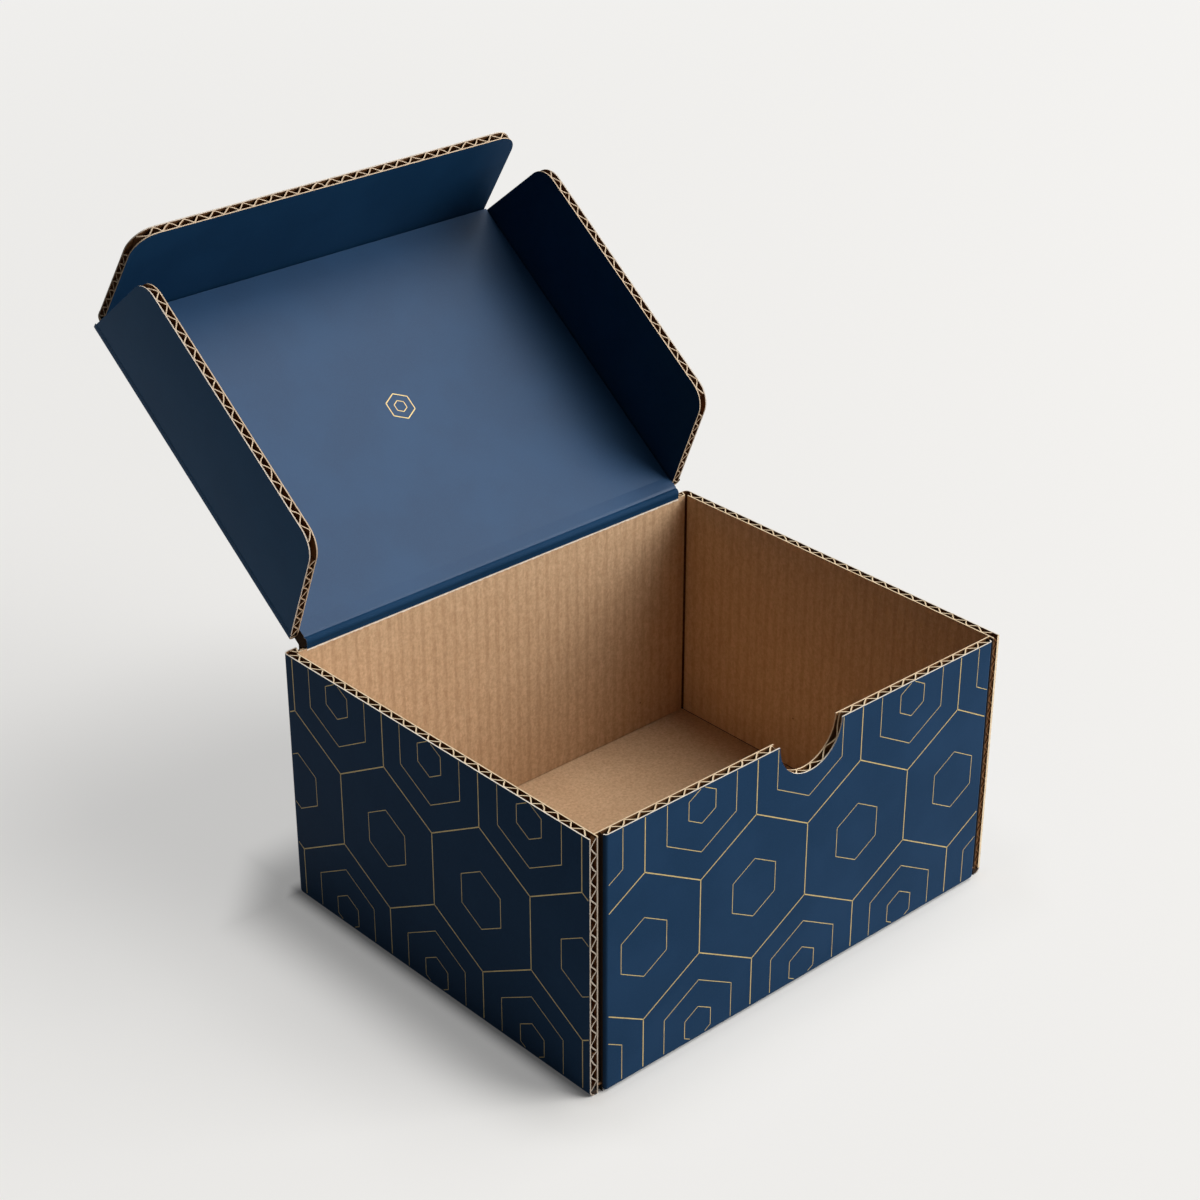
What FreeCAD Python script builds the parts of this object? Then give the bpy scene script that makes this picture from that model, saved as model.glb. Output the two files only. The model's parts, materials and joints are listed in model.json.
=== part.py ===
import FreeCAD, Part
import math
import os

from FreeCAD import Placement, Rotation, Vector

# A corrugated mailer box that stands open: a tray folded from one sheet, and a lid on the tray's
# back wall with a front flap and two side flaps. Lengths are in millimetres and angles in degrees.
# X runs along the front, the front faces -Y, +Z is up, and the origin is the middle of the tray's underside.

# The tray's outer sizes
box_width = 242.0
box_depth = 200.0
box_height = 125.0

# The board: two liners with a zigzag flute between them
board = 4.4
liner = 0.5
flute_pitch = 8.0
flute_web = 0.45

# The tray's folds and cut edges
fold_radius = 2.5
edge_setback = 2.0
panel_end_radius = 1.6
panel_end_gap = 2.2
notch_width = 37.0
notch_depth = 18.5

# The lid and its flaps, measured on their inner faces
lid_reach = 176.0
front_flap_depth = 53.5
side_flap_depth = 52.0
front_flap_taper = 2.0
side_flap_taper = 15.0
flap_corner_radius = 12.0
side_flap_start = 4.0

# The angles at which the lid and flaps stand, and how far they can go
lid_angle = 143.0
lid_full_angle = 210.0
front_flap_angle = 86.0
side_flap_angle = 90.0
flap_tuck_angle = 10.0

# Clearances
crease_gap = 0.3
flap_clearance = 0.5
flap_end_gap = 0.7

# Flute ends that show on cut edges
edge_cell_depth = 2.5
cell_margin = 0.7
overshoot = 1.0

half_board = board / 2
groove_radius = half_board + crease_gap
side_fold_x = box_width / 2 - 2 * board - flap_clearance
side_axis_x = side_fold_x + half_board
front_axis = lid_reach + half_board
hinge_y = box_depth / 2 - half_board
hinge_z = box_height + groove_radius

X_AXIS = Vector(1, 0, 0)
Y_AXIS = Vector(0, 1, 0)
Z_AXIS = Vector(0, 0, 1)


def box_between(low, high):
    """A block between its lowest and highest corners."""
    size = high - low
    return Part.makeBox(size.x, size.y, size.z, low)


def prism(points, sweep):
    """A polygon swept along a vector."""
    return Part.Face(Part.makePolygon(points + points[:1])).extrude(sweep)


def flute_cells(start, along, across, inward, run, reach):
    """The hollow triangles between the liners of a cut edge, as prisms to be cut away.

    start lies on one face of the board at the edge, along follows the edge, across goes through the
    board and inward goes down the flutes. The row is centred in run and each cell is reach deep.
    """
    cavity = board - 2 * liner
    half_pitch = flute_pitch / 2
    slope = cavity / half_pitch
    half_base = half_pitch - flute_web / 2 / math.sin(math.atan(slope))
    rise = half_base * slope
    count = int((run - 2 * half_base) / half_pitch) + 1
    first = (run - (count - 1) * half_pitch) / 2
    cells = []
    for index in range(count):
        middle = start - inward * overshoot + along * (first + index * half_pitch)
        on_far_liner = index % 2 == 1
        base = board - liner if on_far_liner else liner
        tip = base - rise if on_far_liner else base + rise
        corners = [
            middle - along * half_base + across * base,
            middle + along * half_base + across * base,
            middle + across * tip,
        ]
        cells.append(prism(corners, inward * (reach + overshoot)))
    return cells


def without(solid, cutters):
    """The solid with a list of shapes cut out of it."""
    return solid.cut(Part.makeCompound(cutters))


def tray_blank():
    """The folded tray: base and four walls, with rounded folds round the base and up the back corners."""
    outer = box_between(
        Vector(-box_width / 2, -box_depth / 2, 0), Vector(box_width / 2, box_depth / 2, box_height)
    )
    base_folds = [edge for edge in outer.Edges if edge.BoundBox.ZMax < fold_radius]
    back_folds = [
        edge for edge in outer.Edges
        if edge.BoundBox.ZLength > box_height - overshoot and edge.BoundBox.YMin > 0
    ]
    outer = outer.makeFillet(fold_radius, base_folds + back_folds)
    inside = box_between(
        Vector(-box_width / 2 + board, -box_depth / 2 + board, board),
        Vector(box_width / 2 - board, box_depth / 2 - board, box_height + overshoot),
    )
    return outer.cut(inside)


def front_corner_cut(side):
    """What is missing at a front corner: the side wall stops short, and a slot parts it from the panel.

    The panel's outer liner rounds into the slot, which is as deep as the board down to its inner liner.
    """
    wall_outer = side * (box_width / 2 + overshoot)
    wall_inner = side * (box_width / 2 - board)
    front = -box_depth / 2
    slot_back = front + board - liner
    strip = box_between(
        Vector(min(wall_outer, wall_inner), front - overshoot, -overshoot),
        Vector(max(wall_outer, wall_inner), front + edge_setback, box_height + overshoot),
    )
    panel_side = wall_inner - side * panel_end_gap
    centre_x = panel_side - side * panel_end_radius
    pocket = box_between(
        Vector(min(centre_x, wall_inner), front - overshoot, -overshoot),
        Vector(max(centre_x, wall_inner), slot_back, box_height + overshoot),
    )
    rounding = Part.makeCylinder(
        panel_end_radius,
        box_height + 4 * overshoot,
        Vector(centre_x, front + panel_end_radius, -2 * overshoot),
    )
    panel_end = box_between(
        Vector(min(centre_x, panel_side), front + panel_end_radius, -overshoot),
        Vector(max(centre_x, panel_side), slot_back, box_height + overshoot),
    )
    return strip.fuse(pocket.cut(rounding.fuse(panel_end)))


def thumb_notch():
    """The round thumb notch in the middle of the front wall's top edge."""
    radius = (notch_width ** 2 / 4 + notch_depth ** 2) / (2 * notch_depth)
    centre = Vector(0, -box_depth / 2 - overshoot, box_height - notch_depth + radius)
    return Part.makeCylinder(radius, board + 2 * overshoot, centre, Y_AXIS)


def hinge_shoulder():
    """What is pressed off the back wall's outer top edge, so that the lid can fold back past level."""
    slope = math.radians(lid_full_angle - 180)
    start_y = hinge_y - groove_radius * math.tan(slope / 2)
    edge_z = hinge_z - (groove_radius + half_board * math.sin(slope)) / math.cos(slope)
    back = box_depth / 2
    corners = [
        Vector(-side_axis_x, start_y, box_height),
        Vector(-side_axis_x, back, edge_z),
        Vector(-side_axis_x, back + overshoot, edge_z),
        Vector(-side_axis_x, back + overshoot, box_height + overshoot),
        Vector(-side_axis_x, start_y, box_height + overshoot),
    ]
    return prism(corners, X_AXIS * 2 * side_axis_x)


def tray_flutes():
    """The flutes of the front and side walls, open along the top, and the cell ends on the raw edges."""
    down = box_height - board - fold_radius
    cells = []

    panel_end = box_width / 2 - board - panel_end_gap - panel_end_radius
    cells += flute_cells(
        Vector(-panel_end, -box_depth / 2, box_height), X_AXIS, Y_AXIS, -Z_AXIS, 2 * panel_end, down
    )

    wall_front = -box_depth / 2 + edge_setback
    run_start = wall_front + edge_cell_depth + cell_margin
    run = box_depth / 2 - board - run_start
    raw_edge_bottom = fold_radius + cell_margin
    raw_edge_run = box_height - raw_edge_bottom - cell_margin
    corner_run = flute_pitch
    for side in (-1, 1):
        face = side * box_width / 2
        through = X_AXIS * -side
        cells += flute_cells(
            Vector(face, run_start, box_height), Y_AXIS, through, -Z_AXIS, run, down
        )
        cells += flute_cells(
            Vector(face, wall_front, raw_edge_bottom), Z_AXIS, through, Y_AXIS, raw_edge_run, edge_cell_depth
        )
        corner = Vector(face - side * fold_radius, box_depth / 2, box_height)
        cells += flute_cells(corner, through, -Y_AXIS, -Z_AXIS, corner_run, down)
    return cells


def make_tray():
    """The tray as one solid."""
    cutters = [front_corner_cut(-1), front_corner_cut(1), thumb_notch(), hinge_shoulder()]
    return without(without(tray_blank(), tray_flutes()), cutters)


def creased_profile(start, end, place):
    """The outline of the lid's section between two creases, as a face.

    start and end are the places of the fold axes on the middle of the board. At each the board stops
    in a hollow round its flap's knuckle, open on the inner side as far as the flap can tuck.
    place turns a distance along the section and a height above the board's middle into a point.
    """
    tuck = math.radians(flap_tuck_angle)
    lip = math.sqrt(groove_radius ** 2 - half_board ** 2)
    inner_edge = groove_radius / math.cos(tuck) + half_board * math.tan(tuck)
    diagonal = groove_radius * math.cos(math.atan2(half_board, lip) / 2)
    drop = groove_radius * math.sin(math.atan2(half_board, lip) / 2)

    def end_edges(axis, way):
        on_outer = place(axis - way * lip, -half_board)
        on_middle = place(axis - way * groove_radius, 0)
        on_inner = place(axis - way * inner_edge, half_board)
        between = place(axis - way * diagonal, -drop)
        return on_outer, on_inner, [
            Part.Arc(on_outer, between, on_middle).toShape(),
            Part.makeLine(on_middle, on_inner),
        ]

    near_outer, near_inner, near_edges = end_edges(start, -1)
    far_outer, far_inner, far_edges = end_edges(end, 1)
    edges = near_edges + far_edges
    edges += [Part.makeLine(near_inner, far_inner), Part.makeLine(near_outer, far_outer)]
    return Part.Face(Part.Wire(Part.sortEdges(edges)[0]))


def knuckle_profile(length, place):
    """The outline of a panel's section that starts in a round knuckle on its fold axis, as a face."""
    top = place(0, half_board)
    bottom = place(0, -half_board)
    edges = [
        Part.Arc(top, place(-half_board, 0), bottom).toShape(),
        Part.makeLine(bottom, place(length, -half_board)),
        Part.makeLine(place(length, -half_board), place(length, half_board)),
        Part.makeLine(place(length, half_board), top),
    ]
    return Part.Face(Part.Wire(edges))


def make_lid_panel():
    """The lid without its flaps, lying with its hinge axis on X, its front towards +Y and its inner face up."""
    across = creased_profile(-side_axis_x, side_axis_x, lambda u, w: Vector(u, -board, w))
    across = across.extrude(Y_AXIS * (front_axis + 2 * board))
    lengthwise = creased_profile(-front_axis, front_axis, lambda v, w: Vector(-side_axis_x, v, w))
    lengthwise = lengthwise.extrude(X_AXIS * 2 * side_axis_x)
    hinge_end = knuckle_profile(front_axis + board, lambda v, w: Vector(-side_axis_x, v, w))
    hinge_end = hinge_end.extrude(X_AXIS * 2 * side_axis_x)
    return across.common(lengthwise).common(hinge_end)


def make_flap(length, depth, taper):
    """A flap that lies flat with its fold axis on X, reaching towards +Y, with its inner face up."""
    full_depth = depth + half_board
    inset = full_depth * math.tan(math.radians(taper))
    slab = knuckle_profile(full_depth, lambda v, w: Vector(-length / 2, v, w)).extrude(X_AXIS * length)
    outline = [
        Vector(-length / 2, -board, -board),
        Vector(-length / 2, 0, -board),
        Vector(-length / 2 + inset, full_depth, -board),
        Vector(length / 2 - inset, full_depth, -board),
        Vector(length / 2, 0, -board),
        Vector(length / 2, -board, -board),
    ]
    shape = prism(outline, Z_AXIS * 2 * board)
    corners = [
        edge for edge in shape.Edges
        if edge.BoundBox.ZLength > board and edge.BoundBox.YMin > full_depth - overshoot
    ]
    shape = shape.makeFillet(flap_corner_radius, corners)
    return without(slab.common(shape), flap_flutes(length, full_depth, inset))


def flap_flutes(length, full_depth, inset):
    """A flap's flutes, open along its free edge, and the cell ends along its two short edges."""
    row_start = -length / 2 + inset + edge_cell_depth + cell_margin
    face = -half_board
    cells = flute_cells(
        Vector(row_start, full_depth, face), X_AXIS, Z_AXIS, -Y_AXIS, -2 * row_start, full_depth - board
    )
    lean = math.atan2(inset, full_depth)
    rounding = flap_corner_radius * math.tan((math.pi / 2 - lean) / 2)
    edge_run = full_depth / math.cos(lean) - rounding - half_board
    for side in (-1, 1):
        up_edge = Vector(-side * math.sin(lean), math.cos(lean), 0)
        into = Vector(-side * math.cos(lean), -math.sin(lean), 0)
        start = Vector(side * length / 2, 0, face) + up_edge * half_board
        cells += flute_cells(start, up_edge, Z_AXIS, into, edge_run, edge_cell_depth)
    return cells


def open_lid():
    """Where the lid stands: turned about the hinge axis, on top of the back wall."""
    return Placement(Vector(0, hinge_y, hinge_z), Rotation(X_AXIS, 180 - lid_angle))


def make_front_flap():
    """The flap on the lid's front edge."""
    length = 2 * (side_fold_x - flap_end_gap)
    flap = make_flap(length, front_flap_depth, front_flap_taper)
    at_fold = Placement(Vector(0, front_axis, 0), Rotation(X_AXIS, front_flap_angle))
    return placed(flap, open_lid().multiply(at_fold))


def make_side_flap(side):
    """The flap on one of the lid's side edges: -1 is the left one and 1 the right one."""
    end = lid_reach - flap_end_gap
    flap = make_flap(end - side_flap_start, side_flap_depth, side_flap_taper)
    outward = Rotation(Z_AXIS, -90 * side)
    fold = Rotation(Y_AXIS, -side * side_flap_angle)
    middle = Vector(side * side_axis_x, (side_flap_start + end) / 2, 0)
    at_fold = Placement(middle, fold.multiply(outward))
    return placed(flap, open_lid().multiply(at_fold))


def placed(shape, placement):
    """A copy of a shape moved to its place."""
    return shape.transformed(placement.toMatrix(), copy=True)


def main():
    os.makedirs("parts", exist_ok=True)
    nodes = {
        "tray": make_tray(),
        "lid": placed(make_lid_panel(), open_lid()),
        "front_flap": make_front_flap(),
        "left_flap": make_side_flap(-1),
        "right_flap": make_side_flap(1),
    }
    for name, shape in nodes.items():
        solids = shape.Solids
        print(name, "solids", len(solids), "valid", shape.isValid(), "volume", round(shape.Volume), "mm3")
        solid = solids[0] if len(solids) == 1 else Part.makeCompound(solids)
        solid.exportStep(f"parts/{name}.step")


main()
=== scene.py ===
import json
import math
import random

import bmesh
import bpy
from mathutils import Matrix, Vector


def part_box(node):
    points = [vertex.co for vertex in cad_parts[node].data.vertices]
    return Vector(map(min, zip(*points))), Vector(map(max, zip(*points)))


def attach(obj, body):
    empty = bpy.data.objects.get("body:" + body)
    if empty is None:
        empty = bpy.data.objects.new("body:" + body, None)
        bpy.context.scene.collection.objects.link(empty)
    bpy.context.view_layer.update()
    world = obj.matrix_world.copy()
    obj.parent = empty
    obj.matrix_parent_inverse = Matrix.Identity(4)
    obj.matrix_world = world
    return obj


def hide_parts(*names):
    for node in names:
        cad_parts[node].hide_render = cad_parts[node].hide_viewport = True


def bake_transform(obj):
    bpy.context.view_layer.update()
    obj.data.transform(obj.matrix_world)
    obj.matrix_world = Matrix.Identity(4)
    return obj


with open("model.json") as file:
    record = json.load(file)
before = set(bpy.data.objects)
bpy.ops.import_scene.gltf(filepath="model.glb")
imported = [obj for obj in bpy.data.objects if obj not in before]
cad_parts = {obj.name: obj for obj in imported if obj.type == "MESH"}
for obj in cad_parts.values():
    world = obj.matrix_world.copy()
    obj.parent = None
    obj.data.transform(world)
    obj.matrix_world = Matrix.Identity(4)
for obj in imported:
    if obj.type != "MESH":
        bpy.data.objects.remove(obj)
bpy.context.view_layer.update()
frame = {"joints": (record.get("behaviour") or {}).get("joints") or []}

# The looks of a corrugated mailer box. Lengths are in metres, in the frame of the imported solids:
# X along the front, the front faces -Y, +Z up, origin in the middle of the tray's underside.

MM = 0.001
MERGE_DISTANCE = 0.002 * MM
SAME_PLACE = 0.01 * MM

# The board: two liners with a wavy flute between them
BOARD = 4.4 * MM
LINER = 0.6 * MM
FLUTE_PITCH = 8.0 * MM
FLUTE_WEB = 0.55 * MM
SHORT_PITCH = 6.0 * MM
RIB_PITCH = 6.2 * MM
HALF_BOARD = BOARD / 2
WALL_FLUTE_DEPTH = 30.0 * MM
FLAP_FLUTE_DEPTH = 24.0 * MM

# How uneven the flute's folds are
FOLD_SHIFT = 0.06
LEAST_CREST = 0.03
MOST_CREST = 0.07
WEB_BOW = 0.14 * MM
FLUTE_SINK = 0.1 * MM

# The tray's folds, cut edges and thumb notch
FOLD_RADIUS = 2.5 * MM
EDGE_SETBACK = 2.0 * MM
PANEL_END_RADIUS = 1.6 * MM
PANEL_END_GAP = 2.2 * MM
NOTCH_RADIUS = 18.5 * MM
NOTCH_MARGIN = 0.6 * MM
NOTCH_STEPS = 40
ROUND_STEPS = 10
CELL_DEPTH = 2.5 * MM
# How deep the right raw edge's cells go before a brown backing that paints them as flat shade
RIGHT_EDGE_CELL_DEPTH = 0.7 * MM
CELL_GAP = 0.5 * MM
FOLD_PAPER = 0.1 * MM
LINE_LIFT = 0.03 * MM
SHOULDER_DROP = 1.66 * MM
SHOULDER_WIDTH = 2.87 * MM
CORNER_SEAM = 0.8 * MM
FLOOR_SEAM = 0.4 * MM

# The lid's flaps
FRONT_FLAP_LENGTH = 222.0 * MM
FRONT_FLAP_DEPTH = 55.7 * MM
FRONT_FLAP_TAPER = 2.0
FRONT_FLAP_ANGLE = 86.0
SIDE_FLAP_LENGTH = 171.3 * MM
SIDE_FLAP_DEPTH = 54.2 * MM
SIDE_FLAP_TAPER = 15.0
SIDE_FLAP_ANGLE = 90.0
FLAP_CORNER_RADIUS = 12.0 * MM
FLAP_CORNER_STEPS = 12

# Where the lid's liners stop short of its creases, beyond half a board inside
LID_INNER_GAP = 0.73 * MM
LID_OUTER_GAP = 1.19 * MM

# The printed lines
STRONG_LINE = 0.5 * MM
FINE_LINE = 0.32 * MM
CELL_RADIUS = 36.0 * MM
TOP_MARGIN = 0.4 * MM
SIDE_HALF_FIELD = 97.4 * MM
HINGE_BAND = 8.0 * MM

# The order of the finishes in each mesh of board or fold paper
# The seventh finish is painted shade, a dark paper for hollows and cut edges that lie in shadow
PRINT, KRAFT, PALE_CUT, CREAM_CUT, FLUTE, INNER_PRINT, PAINTED_SHADE, RAW_CUT = range(8)

X_AXIS = Vector((1, 0, 0))
Y_AXIS = Vector((0, 1, 0))
Z_AXIS = Vector((0, 0, 1))


class Shape:
    """Points and faces gathered for one mesh, with a finish for each face."""

    def __init__(self):
        self.points = []
        self.faces = []
        self.finishes = []

    def face(self, points, finish):
        first = len(self.points)
        self.points += points
        self.faces.append(tuple(range(first, first + len(points))))
        self.finishes.append(finish)

    def band(self, one, two, finish, closed=False):
        """Quads between two rows of points."""
        first = len(self.points)
        count = len(one)
        self.points += list(one) + list(two)
        other = first + count
        for index in range(count if closed else count - 1):
            after = (index + 1) % count
            self.faces.append((first + index, first + after, other + after, other + index))
            self.finishes.append(finish)

    def piece(self, name, materials, smooth=30):
        """A mesh object with merged points and outward normals."""
        mesh = bpy.data.meshes.new(name)
        mesh.from_pydata([tuple(point) for point in self.points], [], self.faces)
        for material in materials:
            mesh.materials.append(material)
        mesh.polygons.foreach_set("material_index", self.finishes)
        work = bmesh.new()
        work.from_mesh(mesh)
        bmesh.ops.remove_doubles(work, verts=work.verts, dist=MERGE_DISTANCE)
        bmesh.ops.recalc_face_normals(work, faces=work.faces)
        for face in work.faces:
            face.smooth = True
        work.to_mesh(mesh)
        work.free()
        mesh.set_sharp_from_angle(angle=math.radians(smooth))
        made = bpy.data.objects.new(name, mesh)
        bpy.context.scene.collection.objects.link(made)
        return made


class Panel:
    """A place to build board in: a runs along the panel, b up it, and c through the board."""

    def __init__(self, origin, along, up, through):
        self.origin = Vector(origin)
        self.along = Vector(along)
        self.up = Vector(up)
        self.through = Vector(through)

    def at(self, a, b, c):
        return self.origin + self.along * a + self.up * b + self.through * c


def slab(shape, panel, outline, low, high, low_finish, high_finish, cut, open_sides=()):
    """A liner: an outline of (a, b) points between two heights.

    Its cut edge goes all round, apart from the outline's open_sides.
    """
    bottom = [panel.at(a, b, low) for a, b in outline]
    top = [panel.at(a, b, high) for a, b in outline]
    shape.face(bottom, low_finish)
    shape.face(top, high_finish)
    for index in range(len(outline)):
        after = (index + 1) % len(outline)
        if index not in open_sides:
            shape.band([bottom[index], bottom[after]], [top[index], top[after]], cut)


def level_edge(a):
    """A cut edge at the height of the panel's own origin."""
    return 0.0


def fluting(shape, place, start, end, edge, depth, low, high, pitch, dice, cut=CREAM_CUT):
    """The folded sheet between two liners, cut off at edge(a) and reaching depth down from there.

    place(a, b, c) gives the point. The folds follow each other along a, between the heights low
    and high, and they are a little uneven, as crushed paper is.
    """
    count = max(2, round((end - start) / (pitch / 2)))
    half_wave = (end - start) / count
    line = []
    for index in range(count + 1):
        middle = start + index * half_wave
        if 0 < index < count:
            middle += dice.uniform(-FOLD_SHIFT, FOLD_SHIFT) * pitch
        height = high - FLUTE_WEB / 2 if index % 2 else low + FLUTE_WEB / 2
        crest = dice.uniform(LEAST_CREST, MOST_CREST) * pitch
        if index > 0:
            line.append((middle - crest, height))
        if index < count:
            line.append((middle + crest, height))
            bow = dice.uniform(-WEB_BOW, WEB_BOW)
            line.append((middle + half_wave / 2, (low + high) / 2 + bow))
    rows = [[], [], [], []]
    for index, (a, c) in enumerate(line):
        before = line[max(index - 1, 0)]
        after = line[min(index + 1, len(line) - 1)]
        run = math.hypot(after[0] - before[0], after[1] - before[1])
        side_a = -(after[1] - before[1]) / run * FLUTE_WEB / 2
        side_c = (after[0] - before[0]) / run * FLUTE_WEB / 2
        for row, sign in ((0, 1), (1, -1)):
            at_a = min(max(a + sign * side_a, start), end)
            at_c = min(max(c + sign * side_c, low - FLUTE_SINK), high + FLUTE_SINK)
            top = edge(at_a) - FLUTE_SINK
            rows[row].append(place(at_a, top, at_c))
            rows[row + 2].append(place(at_a, top - depth, at_c))
    shape.band(rows[0], rows[1], cut)
    shape.band(rows[0], rows[2], FLUTE)
    shape.band(rows[1], rows[3], FLUTE)
    shape.band(rows[2], rows[3], FLUTE)
    for index in (0, -1):
        shape.face([rows[0][index], rows[1][index], rows[3][index], rows[2][index]], FLUTE)


def arc(centre, radius, start, end, steps):
    """Points of an arc in a plane, from one angle in degrees to another."""
    points = []
    for step in range(steps + 1):
        angle = math.radians(start + (end - start) * step / steps)
        points.append((centre[0] + radius * math.cos(angle), centre[1] + radius * math.sin(angle)))
    return points


# The tray

tray_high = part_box("tray")[1]
HALF_WIDTH = tray_high.x - LINE_LIFT
HALF_DEPTH = tray_high.y - LINE_LIFT
HEIGHT = tray_high.z
INNER_X = tray_high.x - BOARD
INNER_Y = tray_high.y - BOARD
RAW_EDGE_Y = -HALF_DEPTH + EDGE_SETBACK

joints = {joint["name"]: joint for joint in frame["joints"]}
hinge = Vector(joints["lid_hinge"]["pos_m"])
front_fold = Vector(joints["front_flap_fold"]["pos_m"])
left_fold = Vector(joints["left_flap_fold"]["pos_m"])
right_fold = Vector(joints["right_flap_fold"]["pos_m"])
SHOULDER_X = right_fold.x
PANEL_END_X = INNER_X - PANEL_END_GAP - PANEL_END_RADIUS
SLOT_BACK = -INNER_Y - LINER


def whole_edge(a):
    """The height of a wall's top edge where nothing is cut out of it."""
    return HEIGHT


def notch_edge(x):
    """The height of the front wall's top edge at x."""
    if abs(x) >= NOTCH_RADIUS:
        return HEIGHT
    return HEIGHT - math.sqrt(NOTCH_RADIUS ** 2 - x ** 2)


def wall_skirt(shape, plan, cut_ends):
    """The printed liner of walls that follow a plan, with its fold under the base.

    plan holds a place, the way inwards and the height of the top edge for each point.
    """
    fold_steps = 5
    rows = [[] for _ in range(fold_steps + 2)]
    inner_rows = [[], []]
    for (x, y), (inward_x, inward_y), top in plan:
        place = Vector((x, y, 0))
        inward = Vector((inward_x, inward_y, 0))
        rows[0].append(place + Z_AXIS * top)
        for step in range(fold_steps + 1):
            angle = math.pi / 2 * step / fold_steps
            shift = FOLD_RADIUS * (1 - math.cos(angle))
            height = FOLD_RADIUS * (1 - math.sin(angle))
            rows[step + 1].append(place + inward * shift + Z_AXIS * height)
        inner_rows[0].append(place + inward * LINER + Z_AXIS * top)
        inner_rows[1].append(place + inward * LINER + Z_AXIS * FOLD_RADIUS)
    for upper, lower in zip(rows, rows[1:]):
        shape.band(upper, lower, PRINT)
    shape.band(rows[0], inner_rows[0], PALE_CUT)
    shape.band(inner_rows[0], inner_rows[1], FLUTE)
    if cut_ends:
        for index in (0, -1):
            end = [rows[0][index], rows[1][index], inner_rows[1][index], inner_rows[0][index]]
            shape.face(end, RAW_CUT)
    return rows[-1]


def rounded_corner(centre, radius, start, end, steps):
    """The part of a plan that goes round a corner at full height."""
    part = []
    for point in arc(centre, radius, start, end, steps):
        inward = ((centre[0] - point[0]) / radius, (centre[1] - point[1]) / radius)
        part.append((point, inward, HEIGHT))
    return part


def side_and_back_plan():
    """The plan of the left, back and right walls, from one raw edge to the other."""
    shoulder_top = HEIGHT - SHOULDER_DROP
    centre_x = HALF_WIDTH - FOLD_RADIUS
    centre_y = HALF_DEPTH - FOLD_RADIUS
    plan = [((-HALF_WIDTH, RAW_EDGE_Y), (1, 0), HEIGHT)]
    plan += rounded_corner((-centre_x, centre_y), FOLD_RADIUS, 180, 90, steps=6)
    for x, top in (
        (-SHOULDER_X, HEIGHT), (-SHOULDER_X, shoulder_top), (SHOULDER_X, shoulder_top),
        (SHOULDER_X, HEIGHT),
    ):
        plan.append(((x, HALF_DEPTH), (0, -1), top))
    plan += rounded_corner((centre_x, centre_y), FOLD_RADIUS, 90, 0, steps=6)
    plan.append(((HALF_WIDTH, RAW_EDGE_Y), (-1, 0), HEIGHT))
    return plan


def front_plan():
    """The plan of the front wall, with rounded ends and the thumb notch in its top edge."""
    centre_y = -HALF_DEPTH + PANEL_END_RADIUS
    plan = rounded_corner((-PANEL_END_X, centre_y), PANEL_END_RADIUS, 180, 270, steps=8)
    for x, z in arc((0, HEIGHT), NOTCH_RADIUS, 180, 360, NOTCH_STEPS):
        plan.append(((x, -HALF_DEPTH), (0, 1), z))
    return plan + rounded_corner((PANEL_END_X, centre_y), PANEL_END_RADIUS, 270, 360, steps=8)


def make_wall_foot(shape, side):
    """The cut end of a side wall's round fold under the base."""
    centre = (HALF_WIDTH - FOLD_RADIUS, FOLD_RADIUS)
    outer, inner = [
        [Vector((side * x, RAW_EDGE_Y, z)) for x, z in arc(centre, radius, 0, -90, steps=5)]
        for radius in (FOLD_RADIUS, FOLD_RADIUS - LINER)
    ]
    shape.band(outer, inner, RAW_CUT)
    wall_foot = [(INNER_X, LINER), (INNER_X, FOLD_RADIUS)]
    # The wall's foot inside the fold is painted shade
    shape.face(inner + [Vector((side * x, RAW_EDGE_Y, z)) for x, z in wall_foot], PAINTED_SHADE)


def make_tray_skin(shape):
    """The printed liner outside, the underside between its folds, and the raw edges in front."""
    back_rim = wall_skirt(shape, side_and_back_plan(), True)
    front_rim = wall_skirt(shape, front_plan(), False)
    slot_side = PANEL_END_X + PANEL_END_RADIUS
    slot_start = -HALF_DEPTH + PANEL_END_RADIUS
    corners = [(INNER_X, RAW_EDGE_Y), (INNER_X, SLOT_BACK), (slot_side, SLOT_BACK)]
    underside = back_rim + [Vector((x, y, 0)) for x, y in corners]
    underside += front_rim[::-1]
    underside += [Vector((-x, y, 0)) for x, y in corners[::-1]]
    cleaned = []
    for point in underside:
        if not cleaned or (point - cleaned[-1]).length > SAME_PLACE:
            cleaned.append(point)
    shape.face(cleaned, PRINT)
    cut_y = RAW_EDGE_Y - LINE_LIFT
    wall_side = INNER_X - LINE_LIFT
    liner_top = HEIGHT - LINER
    panel_end = [(slot_side, slot_start), (slot_side, SLOT_BACK)]
    floor_end = [(slot_side, SLOT_BACK), (wall_side, SLOT_BACK)]
    wall_end = [(wall_side, SLOT_BACK), (wall_side, cut_y)]
    liner_cut = [(wall_side, cut_y), (INNER_X + LINER, cut_y)]
    # The slot between each raw edge and the front panel is painted shade, and so is the liner's
    # cut on the right raw edge
    for side, cut_finish in ((-1, RAW_CUT), (1, PAINTED_SHADE)):
        for line, top, finish in (
            (panel_end, HEIGHT, PAINTED_SHADE), (floor_end, BOARD, PAINTED_SHADE), (wall_end, liner_top, PAINTED_SHADE),
            (liner_cut, liner_top, cut_finish),
        ):
            low = [Vector((side * x, y, 0)) for x, y in line]
            shape.band(low, [point + Z_AXIS * top for point in low], finish)
        make_wall_foot(shape, side)
    liner_end = [Vector((x, cut_y, FOLD_RADIUS)) for x in (HALF_WIDTH - 2 * LINER, HALF_WIDTH)]
    liner_end_top = [point + Z_AXIS * (HEIGHT - FOLD_RADIUS) for point in liner_end]
    shape.band(liner_end, liner_end_top, CREAM_CUT)


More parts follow.
